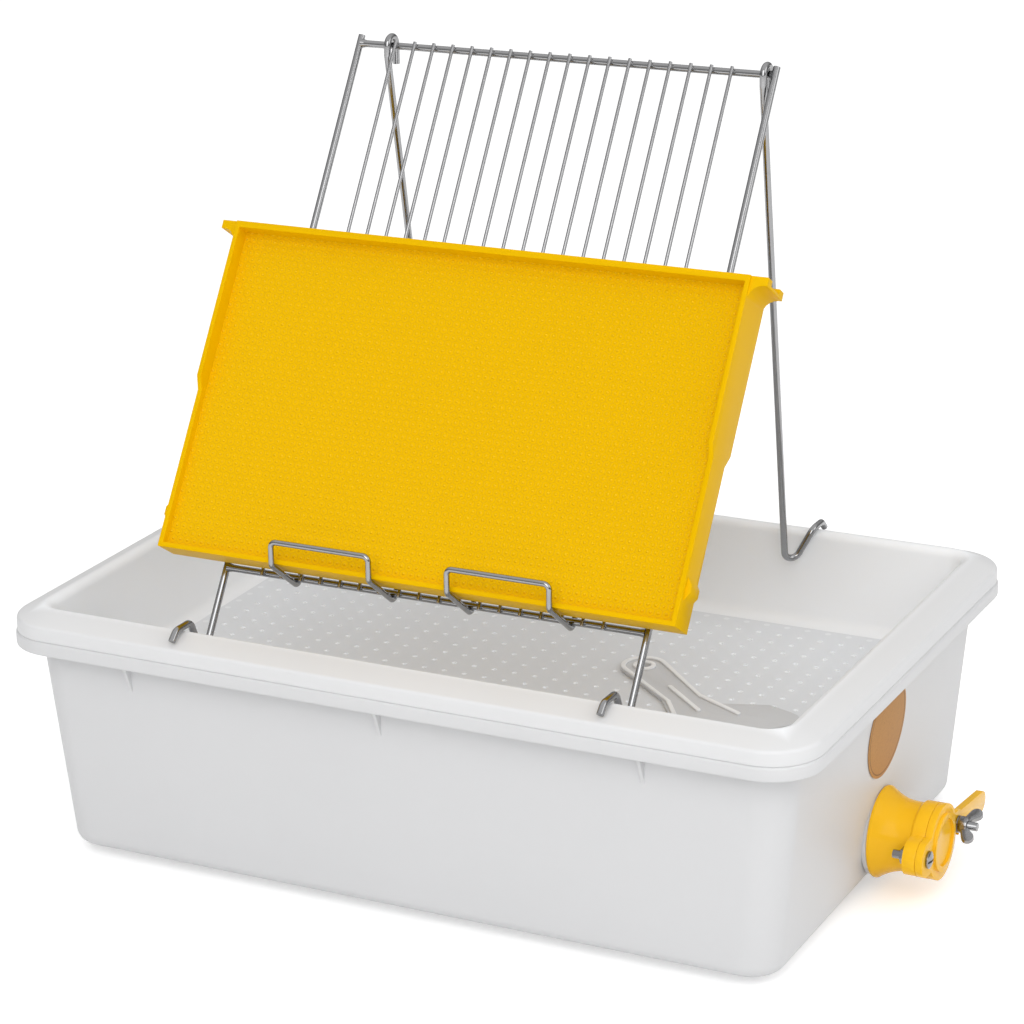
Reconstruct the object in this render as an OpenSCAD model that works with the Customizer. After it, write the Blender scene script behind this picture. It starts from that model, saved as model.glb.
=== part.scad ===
// Uncapping tank: a deep honey tub, a strainer tray nested in its rim, a slanted wire rack that
// holds a comb frame, two hooked rear legs, a swinging honey gate and a hand scraper.
// Millimetres. +X runs along the tub towards the gate, +Y to the rear legs, +Z up.
// The origin is the middle of the base plinth.

/* [Tub] */
// Length over the rim
rim_l = 600; // [560:1:640]
// Width over the rim
rim_w = 405; // [390:1:425]
// Corner radius of the rim, seen from above
rim_corner_r = 37; // [32:1:46]
// Corner radius of the walls, seen from above
wall_corner_r = 25; // [23:0.5:28]
// Height from the base to the top of the tub rim
tub_h = 168.5; // [155:0.5:190]
// Depth of the skirt that turns down round the rim
skirt_h = 10; // [7:0.5:18]
// Width of the flat rim outside the wall
flange_w = 16; // [13:0.5:19]
// Inset of the end walls from the rim to the foot
end_draft = 13.5; // [6:0.5:16]
// Inset of the long walls from the rim to the foot
side_draft = 7.5; // [4:0.5:10]
// Wall thickness of the tub
tub_wall = 2.5; // [2:0.1:3]
// Fillet between the walls and the floor
tub_fillet = 10; // [7:0.5:12]
// Height of the stepped base under the floor
plinth_h = 6; // [4:0.5:9]
// Inset of the stepped base from the foot of the walls
plinth_inset = 20; // [16:0.5:30]
// Places of the gussets along the front and back walls
gusset_share = [-0.337, -0.013, 0.305]; // [-0.4:0.001:0.4]
// Thickness of a gusset under the rim
gusset_t = 3; // [2:0.1:4]
// Height of a gusset
gusset_h = 32; // [26:1:50]

/* [Strainer tray] */
// Height of the upright face round the tray rim
rim_face_h = 11; // [8:0.25:14]
// Rise of the sloped tray rim from that face to its ridge
crown_h = 6.5; // [5:0.25:9]
// Rounding from the ridge into the tray wall
ridge_r = 6.5; // [4:0.25:8]
// Inset of the tray rim from the edge of the tub rim
tray_rim_inset = 1; // [0.5:0.1:2]
// Depth of the tray from the top of its rim to its floor
tray_depth = 71.5; // [50:0.5:90]
// Wall thickness of the tray
tray_wall = 2.5; // [2:0.1:3]
// Clearance between the tray and the tub walls
tray_gap = 5.5; // [3:0.1:7]
// Fillet round the tray floor
tray_fillet = 8; // [4:0.5:12]
// Diameter of a drain hole
drain_d = 3.2; // [2.4:0.1:5]
// Spacing of the drain holes
drain_pitch = 16; // [12:0.5:24]

/* [Wire rack] */
// Diameter of the side, top and ledge rods
rod_d = 5; // [4:0.25:6]
// Diameter of the thin rest bars
bar_d = 2.5; // [2:0.25:4]
// Number of rest bars
bar_count = 18; // [8:1:20]
// Distance between the side rods, axis to axis
rack_w = 318; // [290:1:330]
// Slope of the rack above the horizontal
rack_slope = 56.9; // [52:0.1:60]
// Distance from the ledge rod to the top rod along the slope
rack_l = 389.5; // [360:0.5:420]
// Height of the ledge rod above the top of the tray rim
ledge_z = 26; // [19:0.5:44]
// Distance of the ledge rod in front of the middle
ledge_front = 122; // [118:0.5:126]
// Length of the side rods past the top rod
rod_stub = 6; // [2:0.5:12]
// Depth of the front bends below the top of the tray rim
front_dip = 30; // [24:0.5:36]
// Bend radius of the thick wire
wire_bend = 7; // [6:0.25:9]
// Clearance between a hooked wire and the rim under it
hook_gap = 0.5; // [0.3:0.1:1]
// Inset of a hook tip from the edge of the tub rim
tip_inset = 6; // [5:0.25:12]
// Run of a hook from its shoulder to its tip
tip_run = 6; // [5:0.25:10]
// Drop of a hook tip below the top of the hook
tip_drop = 5.6; // [2:0.1:5.8]

/* [Frame clips] */
// Diameter of the clip wire
clip_d = 4; // [3:0.25:5]
// Width of a clip, axis to axis
clip_w = 74.5; // [60:0.5:90]
// Distance of each clip from the middle
clip_x = 66.5; // [55:0.5:80]
// Reach of a clip in front of the rack
clip_reach = 37.5; // [36:0.5:56]
// Rise of a clip's arms along the slope, from the ledge rod to the upright part
clip_lift = 3.5; // [0:0.25:5]
// Height of the upright part of a clip
clip_rise = 17; // [12:0.5:24]
// Bend radius of the clip wire
clip_bend = 4; // [3.5:0.25:6]

/* [Rear legs] */
// Distance of the left leg's eye in from the left side rod
left_eye_x = 25.5; // [19:0.1:29]
// Distance of the right leg's eye in from the right side rod
right_eye_x = 6; // [5.7:0.1:19]
// Distance of the leg bends in from the side rods
foot_x = 18; // [9:0.5:21]
// Sideways turn of a foot hook from its bend to its tip
foot_turn = 17; // [0:0.5:18]
// Distance of the foot bends in front of the back edge of the rim
foot_inset = 39; // [37:0.5:46]
// Depth of the foot bends below the top of the tray rim
foot_dip = 32; // [20:0.5:34]
// Radius of the eye over the top rod, to the wire axis
eye_r = 6.4; // [5.6:0.1:7]
// Length of the open end of an eye
eye_tail = 14; // [10:0.5:20]

/* [Comb frame] */
// Width of the comb frame
comb_w = 387; // [360:1:410]
// Height of the comb frame
comb_h = 235.5; // [215:0.5:250]
// Shift of the comb frame to the left on the rack
comb_shift = 3; // [0:0.5:6]
// Thickness of the wide upper part
comb_wide_t = 35; // [31:0.5:36]
// Thickness of the narrow lower part
comb_narrow_t = 23; // [18:0.5:26]
// Height of the wide upper part
comb_wide_h = 114; // [80:1:150]
// Length of the taper from wide to narrow
comb_taper = 9; // [6:0.5:20]
// Width of the end bars, seen from the front
end_bar_w = 3.2; // [2.4:0.1:6]
// Height of the top bar
top_bar_h = 4.5; // [3.5:0.25:8]
// Height of the bottom bar
bottom_bar_h = 3.2; // [2.4:0.1:10]
// Thickness of the comb sheet
sheet_t = 11; // [8:0.5:13]
// Length of a lug beyond the end bar
lug_l = 12; // [8:0.5:16]
// Height of a lug
lug_h = 6; // [4:0.5:10]
// Thickness of a lug, seen from above
lug_t = 31; // [10:0.5:31]
// Drop of a lug below the top of the frame
lug_drop = 0; // [0:0.25:4]
// Length of the spacer nub low on each end bar
nub_l = 16; // [10:0.5:24]
// Height of the nub's middle above the bottom of the frame
nub_at = 26; // [18:1:40]
// Height of the nub off the end bar
nub_h = 3.5; // [2:0.25:5]
// Clearance between the comb frame and the wires it rests on
comb_gap = 0.4; // [0.2:0.1:1]

/* [Honey gate] */
// Height of the spout axis above the base
gate_z = 40; // [37:0.5:50]
// Distance of the spout axis behind the middle
gate_y = 7; // [-60:0.5:60]
// Radius of the spout passage
spout_r = 16; // [12:0.25:17]
// Radius of the wall flange
gate_flange_r = 32; // [31:0.25:37]
// Thickness of the wall flange at its edge
gate_flange_t = 1.5; // [1:0.25:5]
// Length of the bell from the wall to the barrel
bell_l = 22; // [16:0.5:24]
// Radius of the barrel behind the front plate
barrel_r = 24.5; // [23:0.25:27]
// Distance from the wall seat to the front plate's face
gate_l = 38.5; // [36:0.5:60]
// Thickness of the front plate
plate_t = 9; // [6:0.25:12]
// Radius of the front plate and of the lid
lid_r = 26.5; // [25:0.25:28]
// Thickness of the lid
lid_t = 5; // [4:0.25:7]
// Outer radius of the raised ring on the lid
ring_r = 20.5; // [16:0.25:21]
// Width of the raised ring
ring_w = 4; // [2:0.25:6]
// Height of the raised ring
ring_h = 1.8; // [1:0.1:3]
// Distance of the pivot screw from the spout axis
pivot_dy = 31; // [29:0.25:34]
// Drop of the pivot screw below the spout axis
pivot_dz = 0; // [0:0.25:8]
// Radius of the ear round the pivot screw
pivot_ear_r = 12.5; // [10:0.25:14]
// Distance of the clamp bolt from the spout axis
clamp_dy = 29; // [28.5:0.25:34]
// Radius of the ear round the clamp bolt
clamp_ear_r = 10; // [9:0.25:12]
// Reach of the lid handle from the spout axis
handle_reach = 89; // [60:0.5:95]
// Width of the lid handle
handle_w = 15; // [12:0.5:18]
// Height of the handle's axis above the spout axis
handle_dz = 4; // [3:0.5:12]
// Droop of the lid handle from its root to its tip
handle_droop = 7.5; // [0:0.5:9]
// Radius of the gate's screw threads
bolt_r = 3; // [2.5:0.1:3]
// Running clearance round the gate's screws
bolt_gap = 0.1; // [0.05:0.01:0.2]
// Gap between the lid and the faces on either side of it
lid_gap = 0.3; // [0.2:0.05:0.5]
// Radius of the threaded neck through the tub wall
neck_r = 20; // [19:0.25:22]
// Thickness of the wall gasket
gasket_t = 2; // [1:0.1:3]

/* [Label] */
// Radius of the round label on the end wall
label_r = 35; // [20:0.5:36]
// Thickness of the label
label_t = 0.4; // [0.3:0.05:1]
// Distance of the label's middle below the top of the tub rim
label_z = 49.5; // [48.5:0.5:58.5]
// Distance of the label's middle behind the middle of the wall
label_y = 1; // [-40:0.5:40]

/* [Scraper] */
// Length of the scraper from its round end's centre to its edge
scraper_l = 138.5; // [120:0.5:160]
// Width of the scraper handle
scraper_grip_w = 33; // [28:0.5:38]
// Width of the scraper blade
scraper_blade_w = 118; // [90:1:124]
// Thickness of the scraper blade
scraper_t = 2; // [1.5:0.1:3]
// Height of the ribs on the scraper
scraper_rib_h = 1.6; // [1:0.1:2.5]
// Width of the ribs on the scraper
scraper_rib_w = 3; // [2:0.25:4]
// Diameter of the hanging hole
hang_d = 10; // [6:0.5:12]
// Turn of the scraper on the tray floor
scraper_turn = -42; // [-60:1:-20]
// Place of the scraper's round end along the tank
scraper_x = 82; // [60:1:100]
// Place of the scraper's round end across the tank
scraper_y = 43; // [30:1:60]

/* [Hidden] */
$fn = 48;
// Steps in a rounded corner, in a fillet and in a wire bend, and sides of a bent wire
corner_steps = 8;
fillet_steps = 5;
bend_steps = 6;
wire_sides = 14;
// Overrun of every cut
cut = 1;

white = [0.93, 0.93, 0.92];
steel = [0.72, 0.72, 0.72];
comb_yellow = [0.93, 0.72, 0.02];
gate_yellow = [0.96, 0.73, 0.2];
kraft = [0.72, 0.53, 0.31];
black = [0.12, 0.12, 0.12];

// Heights and insets that the nested shells share
face_z = tub_h + rim_face_h;
crown_z = face_z + crown_h;
floor_z = crown_z - tray_depth;
function wall_lean(z) = (tub_h - z) / (tub_h - plinth_h);
function tub_x(z) = rim_l / 2 - flange_w - end_draft * wall_lean(z);
function tub_y(z) = rim_w / 2 - flange_w - side_draft * wall_lean(z);
tray_inset = flange_w + tub_wall + tray_gap + tray_wall;
function tray_in_y(z) = tub_y(z) - (tray_inset - flange_w);

// A rounded rectangle as points, counter-clockwise
function round_rect(half, r) = [
    for (q = [0:3], k = [0:corner_steps])
        let (a = 90 * (q + k / corner_steps),
             sx = q == 0 || q == 3 ? 1 : -1,
             sy = q < 2 ? 1 : -1)
            [sx * (half.x - r) + r * cos(a), sy * (half.y - r) + r * sin(a)]
];

// One level of a shell: [inset of the ends, inset of the sides, height, corner radius]
function shell_ring(level) =
    let (half = [rim_l / 2 - level.x, rim_w / 2 - level.y])
        [for (p = round_rect(half, level[3])) [p.x, p.y, level.z]];

// A shell through the levels, closed into a ring or capped at both ends
module shell(levels, ring = false) {
    n = 4 * (corner_steps + 1);
    m = len(levels);
    points = [for (level = levels) each shell_ring(level)];
    spans = ring ? m : m - 1;
    sides = [
        for (i = [0:spans - 1], j = [0:n - 1])
            let (a = i * n, b = (i + 1) % m * n, k = (j + 1) % n)
                each [[a + j, b + j, b + k], [a + j, b + k, a + k]]
    ];
    first = [for (j = [0:n - 1]) j];
    last = [for (j = [0:n - 1]) m * n - 1 - j];
    polyhedron(points, ring ? sides : concat(sides, [first, last]), convexity = 10);
}

// A wall level of the tub, "in" from its outer face, and a level of the rims
function tub_level(z, in = 0) =
    [rim_l / 2 - tub_x(z) + in, rim_w / 2 - tub_y(z) + in, z, wall_corner_r - in];
function even_level(inset, z) = [inset, inset, z, rim_corner_r - inset];
// A level moved in from another one and set to a height
function inner_level(level, in, z) =
    [level.x + in, level.y + in, z, max(level[3] - in, tub_wall)];

// Points of a wire with each corner turned on a radius
function unit(v) = v / norm(v);
function bend(a, b, c, r) =
    let (u = unit(a - b), v = unit(c - b), half = acos(u * v) / 2,
         centre = b + unit(u + v) * r / sin(half),
         p = b + u * r / tan(half) - centre, q = b + v * r / tan(half) - centre,
         turn = 180 - 2 * half)
        [for (k = [0:bend_steps])
            centre + (sin(turn * (1 - k / bend_steps)) * p + sin(turn * k / bend_steps) * q) / sin(turn)];
function route(points, r) = [
    points[0],
    for (i = [1:len(points) - 2]) each bend(points[i - 1], points[i], points[i + 1], r),
    points[len(points) - 1]
];

// A round wire along a route, as one closed skin
function heading(p, i) =
    i == 0 ? unit(p[1] - p[0])
    : i == len(p) - 1 ? unit(p[i] - p[i - 1])
    : unit(unit(p[i] - p[i - 1]) + unit(p[i + 1] - p[i]));
function square_to(v, t) = unit(v - (v * t) * t);
module wire(path, d, side) {
    n = len(path);
    frames = [
        for (i = 0, u = square_to(side, heading(path, 0)); i < n;
            i = i + 1, u = i < n ? square_to(u, heading(path, i)) : u) u
    ];
    // The sides lie on the wire's true diameter, half out and half in
    r = d / 2;
    points = [
        for (i = [0:n - 1], k = [0:wire_sides - 1])
            let (a = 360 * k / wire_sides, v = cross(heading(path, i), frames[i]))
                path[i] + r * (cos(a) * frames[i] + sin(a) * v)
    ];
    skin = [
        for (i = [0:n - 2], k = [0:wire_sides - 1])
            let (a = i * wire_sides, b = a + wire_sides, j = (k + 1) % wire_sides)
                each [[a + k, b + k, b + j], [a + k, b + j, a + j]]
    ];
    first = [for (k = [0:wire_sides - 1]) k];
    last = [for (k = [0:wire_sides - 1]) n * wire_sides - 1 - k];
    polyhedron(points, concat(skin, [first, last]), convexity = 10);
}

// The tub: one moulded shell from its base, out over the rim and down its inside
foot = tub_level(plinth_h);
tub_levels = concat(
    [inner_level(foot, plinth_inset, 0), inner_level(foot, plinth_inset, plinth_h)],
    [for (k = [0:fillet_steps])
        let (a = 90 * k / fillet_steps)
            inner_level(foot, tub_fillet * (1 - sin(a)), plinth_h + tub_fillet * (1 - cos(a)))],
    [
        tub_level(tub_h - tub_wall),
        even_level(tub_wall, tub_h - tub_wall),
        even_level(tub_wall, tub_h - skirt_h),
        even_level(0, tub_h - skirt_h),
        even_level(0, tub_h - tub_wall),
        even_level(tub_wall / 2, tub_h),
        tub_level(tub_h, tub_wall)
    ],
    [for (k = [fillet_steps:-1:0])
        let (a = 90 * k / fillet_steps)
            inner_level(foot, tub_wall + tub_fillet * (1 - sin(a)),
                plinth_h + tub_wall + tub_fillet * (1 - cos(a)))],
    [
        inner_level(foot, plinth_inset + tub_wall, plinth_h + tub_wall),
        inner_level(foot, plinth_inset + tub_wall, tub_wall)
    ]
);

// Where the gate's flat seat stands on the drafted end wall
seat_x = tub_x(gate_z + gate_flange_r);
foot_gap = 0.5;
seat_drop = gate_z - plinth_h - foot_gap;
pad_r = gate_flange_r - gate_flange_t / 2;
neck_gap = 0.3;

module gate_place(out = 0) {
    translate([seat_x + out, gate_y, gate_z])
        rotate([90, 0, 90])
            children();
}

// Keeps what stands above the level of the tub's foot
module above_foot(r, l) {
    intersection() {
        children();
        translate([-r, -seat_drop, -l])
            cube([2 * r, r + seat_drop, 2 * l]);
    }
}

module gusset() {
    top = tub_h - tub_wall / 2;
    low = top - gusset_h;
    rotate([90, 0, 90])
        linear_extrude(gusset_t, center = true)
            polygon([
                [-tub_y(low) + tub_wall / 2, low],
                [-tub_y(low) , low],
                [-tub_y(tub_h - skirt_h) - flange_w / 2, tub_h - skirt_h],
                [-rim_w / 2 + tub_wall / 2, tub_h - skirt_h + tub_wall],
                [-rim_w / 2 + tub_wall / 2, top],
                [-tub_y(top) + tub_wall / 2, top]
            ]);
}

module tub() {
    color(white)
        difference() {
            union() {
                shell(tub_levels);
                for (share = gusset_share, turn = [0, 180])
                    rotate([0, 0, turn])
                        translate([(turn == 0 ? 1 : -1) * share * rim_l, 0, 0])
                            gusset();
                gate_place(-pad_depth)
                    above_foot(pad_r, 2 * pad_depth)
                        cylinder(r = pad_r, h = pad_depth);
                gate_place(-boss_depth)
                    above_foot(boss_r, 2 * boss_depth)
                        cylinder(r = boss_r, h = boss_depth);
            }
            gate_place(-boss_depth - cut)
                cylinder(r = neck_r + neck_gap, h = boss_depth + 2 * cut);
        }
}
// The outer pad reaches from its face back into the wall at its lower edge,
// and the inner boss to a flat face clear of the floor's fillet
pad_depth = seat_x - tub_x(plinth_h + tub_fillet / 2) + tub_wall / 2;
boss_depth = seat_x - tub_x(plinth_h) + tub_wall + tub_fillet;

// The strainer tray: an upright face on the tub's rim, a slope up to a rounded ridge,
// drafted walls and a drilled floor
tray_floor_z = floor_z - tray_wall;
ridge_foot_z = crown_z - ridge_r;
function tray_level(z, in = 0) = tub_level(z, tray_inset - flange_w + in);
tray_levels = concat(
    [
        tray_level(tray_floor_z, -tray_wall),
        tray_level(ridge_foot_z, -tray_wall),
        inner_level(tray_level(ridge_foot_z), -ridge_r, crown_z - tray_wall),
        even_level(tray_rim_inset + tray_wall, face_z - tray_wall),
        even_level(tray_rim_inset + tray_wall, tub_h),
        even_level(tray_rim_inset, tub_h)
    ],
    [for (k = [0:fillet_steps])
        let (a = 90 * k / fillet_steps)
            even_level(tray_rim_inset + tray_wall * (1 - cos(a)), face_z - tray_wall * (1 - sin(a)))],
    [for (k = [fillet_steps:-1:0])
        let (a = 90 * k / fillet_steps)
            inner_level(tray_level(ridge_foot_z), -ridge_r * (1 - cos(a)), ridge_foot_z + ridge_r * sin(a))],
    [for (k = [fillet_steps:-1:0])
        let (a = 90 * k / fillet_steps)
            tray_level(floor_z + tray_fillet * (1 - cos(a)), tray_fillet * (1 - sin(a)))],
    [tray_level(tray_floor_z, tray_fillet)]
);

module strainer_tray() {
    edge = tray_level(floor_z, tray_fillet);
    half = [rim_l / 2 - edge.x, rim_w / 2 - edge.y];
    lap = tray_fillet / 2;
    nx = floor((half.x - drain_pitch / 2) / drain_pitch);
    ny = floor((half.y - drain_pitch / 2) / drain_pitch);
    color(white)
        union() {
            shell(tray_levels, ring = true);
            translate([0, 0, tray_floor_z])
                linear_extrude(tray_wall)
                    difference() {
                        polygon(round_rect([half.x + lap, half.y + lap], edge[3] + lap));
                        for (i = [-nx:nx], j = [-ny:ny])
                            translate([i * drain_pitch, j * drain_pitch])
                                circle(d = drain_d, $fn = 16);
                    }
        }
}

// The label lies on the drafted end wall
label_lean = atan(end_draft / (tub_h - plinth_h));
label_glue = 0.05;
// The label hangs below the rim, and slides sideways where a low tub brings it near the gate's pad
label_gap = 1;
label_mid_z = tub_h - label_z;
label_clear = label_r + gate_flange_r + label_gap;
label_slide = sqrt(max(0, label_clear ^ 2 - (label_mid_z - gate_z) ^ 2)) - abs(gate_y - label_y);
label_mid_y = label_y - max(0, label_slide);
module round_label() {
    color(kraft)
        translate([tub_x(label_mid_z), label_mid_y, label_mid_z])
            rotate([0, 90 + label_lean, 0])
                translate([0, 0, label_glue])
                    cylinder(r = label_r, h = label_t);
}

// Honey gate: gasket, body, lock nut, seal, lid and its screws, each on the spout axis
lock_nut_t = 7;
lock_nut_rim = 5;
lock_nut_r = neck_r + lock_nut_rim;
boss_r = lock_nut_r;
neck_l = boss_depth + lock_nut_t + tub_wall;
front = gate_l;
lid_in = front + lid_gap;
lid_out = lid_in + lid_t;
seal_w = 3;
seal_t = 2;
seal_r = spout_r + seal_w / 2;
pivot = [-pivot_dy, -pivot_dz];
clamp_dz = bolt_r / 2;
clamp = [clamp_dy, clamp_dz];
washer_t = 1.2;
washer_r = 2 * bolt_r;
head_r = 2 * bolt_r;
head_h = bolt_r;
nut_r = 2 * bolt_r;
nut_t = bolt_r + washer_t;
pocket_r = nut_r + 2 * bolt_gap;
pocket_l = nut_t + head_r;

// The plate in front of the barrel is as wide as the lid
plate_r = max(lid_r, barrel_r);
// The gasket lies in a recess of the flange, whose lip meets the wall's pad
gasket_lip = gasket_t + neck_gap;
gasket_r = pad_r - gasket_lip;

module gate_gasket() {
    color(black)
        gate_place()
            above_foot(gate_flange_r, gate_l)
                difference() {
                    cylinder(r = gasket_r, h = gasket_t);
                    translate([0, 0, -cut])
                        cylinder(r = neck_r + neck_gap, h = gasket_t + 2 * cut);
                }
}

module plate_outline(ear_r) {
    circle(r = lid_r);
    hull() {
        translate(pivot)
            circle(r = ear_r);
        circle(r = pivot_ear_r);
    }
    hull() {
        translate(clamp)
            circle(r = clamp_ear_r);
        circle(r = clamp_ear_r);
    }
}

module gate_body() {
    flare = front - plate_t;
    color(gate_yellow)
        gate_place()
            above_foot(gate_flange_r + lid_r, gate_l)
                difference() {
                    union() {
                        rotate_extrude()
                            polygon(concat(
                                [[0, gasket_t], [gasket_r + bolt_gap, gasket_t], [gasket_r + bolt_gap, 0],
                                 [gate_flange_r, 0]],
                                [for (k = [0:2 * fillet_steps])
                                    let (part = k / (2 * fillet_steps))
                                        [barrel_r + (gate_flange_r - barrel_r) * (1 - part) ^ 2,
                                         gate_flange_t + (bell_l - gate_flange_t) * part]],
                                [[barrel_r, flare - plate_r + barrel_r], [plate_r, flare], [plate_r, front],
                                 [0, front]]
                            ));
                        translate([0, 0, -neck_l])
                            cylinder(r = neck_r, h = neck_l + gasket_t + gate_flange_t);
                        translate([0, 0, flare])
                            linear_extrude(plate_t)
                                plate_outline(pivot_ear_r);
                    }
                    translate([0, 0, -neck_l - cut])
                        cylinder(r = spout_r, h = neck_l + front + 2 * cut);
                    translate([0, 0, front - seal_t])
                        cylinder(r = seal_r + seal_w / 2, h = seal_t + cut);
                    for (at = [pivot, clamp])
                        translate([at.x, at.y, flare - pocket_l]) {
                            cylinder(r = bolt_r + bolt_gap, h = pocket_l + plate_t + cut);
                            cylinder(r = pocket_r, h = pocket_l);
                        }
                }
}

module gate_lock_nut() {
    color(gate_yellow)
        gate_place(-boss_depth - lock_nut_t)
            difference() {
                cylinder(r = lock_nut_r, h = lock_nut_t, $fn = 8);
                translate([0, 0, -cut])
                    cylinder(r = neck_r + bolt_gap, h = lock_nut_t + 2 * cut);
            }
}

module gate_lid_seal() {
    color(black)
        gate_place(front - seal_t)
            difference() {
                cylinder(r = seal_r + seal_w / 2 - bolt_gap, h = seal_t + lid_gap / 2);
                translate([0, 0, -cut])
                    cylinder(r = spout_r, h = seal_t + lid_gap + 2 * cut);
            }
}

// The slot follows the clamp bolt's path about the pivot and opens downward
slot_r = norm(clamp - pivot);
slot_start = atan2(clamp.y - pivot.y, clamp.x - pivot.x);
slot_half = bolt_r + 2 * bolt_gap;
slot_sweep = asin((clamp_ear_r + clamp_dz) / slot_r) + slot_start;

module gate_lid() {
    color(gate_yellow)
        gate_place(lid_in)
            difference() {
                union() {
                    linear_extrude(lid_t) {
                        plate_outline(pivot_ear_r);
                        hull() {
                            translate([lid_r - handle_w, handle_dz])
                                circle(d = handle_w);
                            translate([handle_reach - handle_w / 2, handle_dz - handle_droop])
                                circle(d = handle_w);
                        }
                    }
                    translate([0, 0, lid_t])
                        rotate_extrude()
                            translate([ring_r - ring_w, 0])
                                square([ring_w, ring_h]);
                }
                translate([pivot.x, pivot.y, -cut])
                    cylinder(r = bolt_r + bolt_gap, h = lid_t + 2 * cut);
                translate([clamp.x, clamp.y, -cut])
                    cylinder(r = slot_half, h = lid_t + 2 * cut);
                translate([pivot.x, pivot.y, -cut])
                    rotate([0, 0, slot_start - 2 * slot_sweep])
                        rotate_extrude(angle = 2 * slot_sweep, $fn = 96)
                            translate([slot_r - slot_half, 0])
                                square([2 * slot_half, lid_t + 2 * cut]);
            }
}

module gate_pivot_screw() {
    flare = front - plate_t;
    tail = flare - nut_t - 2 * bolt_r;
    slot_w = bolt_r / 2;
    color(steel)
        gate_place()
            translate([pivot.x, pivot.y, 0])
                difference() {
                    union() {
                        translate([0, 0, tail])
                            cylinder(r = bolt_r, h = lid_out + lid_gap - tail);
                        translate([0, 0, lid_out + lid_gap])
                            rotate_extrude()
                                intersection() {
                                    translate([0, head_h - 2 * head_r])
                                        circle(r = 2 * head_r);
                                    square([head_r, head_h]);
                                }
                    }
                    translate([-head_r, -slot_w / 2, lid_out + lid_gap + head_h / 2])
                        cube([2 * head_r, slot_w, head_h]);
                }
}

module hex_nut(r, t, bore) {
    difference() {
        cylinder(r = r, h = t, $fn = 6);
        translate([0, 0, -cut])
            cylinder(r = bore, h = t + 2 * cut);
    }
}

module gate_pivot_nut() {
    color(steel)
        gate_place(front - plate_t - nut_t)
            translate([pivot.x, pivot.y, 0])
                hex_nut(nut_r, nut_t, bolt_r + bolt_gap);
}

// The clamp bolt's head sits behind the ear, its thread runs out past the wing nut
clamp_head_t = bolt_r;
wing_t = 6;
wing_span = 30;
wing_rise = 13;
wing_w = 3;
module gate_clamp_bolt() {
    back = front - plate_t;
    color(steel)
        gate_place()
            translate([clamp.x, clamp.y, 0]) {
                translate([0, 0, back - clamp_head_t])
                    cylinder(r = nut_r, h = clamp_head_t, $fn = 6);
                translate([0, 0, back - clamp_head_t / 2])
                    cylinder(r = bolt_r, h = lid_out - back + clamp_head_t + wing_rise);
            }
}

module gate_clamp_washer() {
    color(steel)
        gate_place(lid_out + lid_gap)
            translate([clamp.x, clamp.y, 0])
                difference() {
                    cylinder(r = washer_r, h = washer_t);
                    translate([0, 0, -cut])
                        cylinder(r = bolt_r + bolt_gap, h = washer_t + 2 * cut);
                }
}

// The wings lean out from the hub as two rounded ears
wing_turn = 25;
module gate_wing_nut() {
    hub_r = washer_r;
    ear_r = wing_rise / 3;
    color(steel)
        gate_place(lid_out + 2 * lid_gap + washer_t)
            translate([clamp.x, clamp.y, 0])
                rotate([0, 0, wing_turn])
                    difference() {
                        union() {
                            cylinder(r = hub_r, h = wing_t);
                            for (side = [-1, 1])
                                rotate([90, 0, 0])
                                    linear_extrude(wing_w, center = true)
                                        hull() {
                                            translate([side * hub_r / 2, wing_t / 2])
                                                circle(r = wing_t / 3);
                                            translate([side * (wing_span / 2 - ear_r), wing_rise - ear_r])
                                                circle(r = ear_r);
                                        }
                        }
                        translate([0, 0, -cut])
                            cylinder(r = bolt_r + bolt_gap, h = wing_rise + 2 * cut);
                    }
}

// The rack's own frame: x across, minus y out of the rack's face, z up the slope
ledge_mid_z = crown_z + ledge_z;
module on_rack() {
    translate([0, -ledge_front, ledge_mid_z])
        rotate([rack_slope - 90, 0, 0])
            children();
}
up_slope = [0, cos(rack_slope), sin(rack_slope)];
off_face = [0, -sin(rack_slope), cos(rack_slope)];
function on_slope(x, off, along) = [x, -ledge_front, ledge_mid_z] + off * off_face + along * up_slope;

// The hooks rest on the tray rim: their top run, their inner arm and their tip
hook_z = crown_z + hook_gap + rod_d / 2;
tip_y = rim_w / 2 - tip_inset;
shoulder_y = tip_y - tip_run;
function arm_y(z) = tray_in_y(z) - hook_gap - rod_d / 2;

module side_rod(x) {
    dip_z = crown_z - front_dip;
    dip = on_slope(x, 0, (dip_z - ledge_mid_z) / sin(rack_slope));
    path = route([
        on_slope(x, 0, rack_l + rod_stub),
        [x, max(dip.y, -arm_y(dip_z)), dip_z],
        [x, -arm_y(dip_z), hook_z],
        [x, -shoulder_y, hook_z],
        [x, -tip_y, hook_z - tip_drop]
    ], wire_bend);
    color(steel)
        wire(path, rod_d, [1, 0, 0]);
}

module rack_side_rod_left() {
    side_rod(-rack_w / 2);
}

module rack_side_rod_right() {
    side_rod(rack_w / 2);
}

// A cross rod, its ends hollowed to sit against the side rods
module cross_rod(along) {
    color(steel)
        on_rack()
            difference() {
                translate([-rack_w / 2, 0, along])
                    rotate([0, 90, 0])
                        cylinder(d = rod_d, h = rack_w);
                for (side = [-1, 1])
                    translate([side * rack_w / 2, 0, along - rod_d])
                        cylinder(d = rod_d, h = 2 * rod_d);
            }
}

module rack_top_rod() {
    cross_rod(rack_l);
}

module rack_ledge_rod() {
    cross_rod(0);
}

bar_pitch_share = 1 / 21;
bar_pitch = rack_w * bar_pitch_share;
module rack_rest_bars() {
    color(steel)
        on_rack()
            for (i = [0:bar_count - 1])
                translate([(i - (bar_count - 1) / 2) * bar_pitch, -(rod_d + bar_d) / 2, -rod_d / 2])
                    cylinder(d = bar_d, h = rack_l + rod_d);
}

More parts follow.
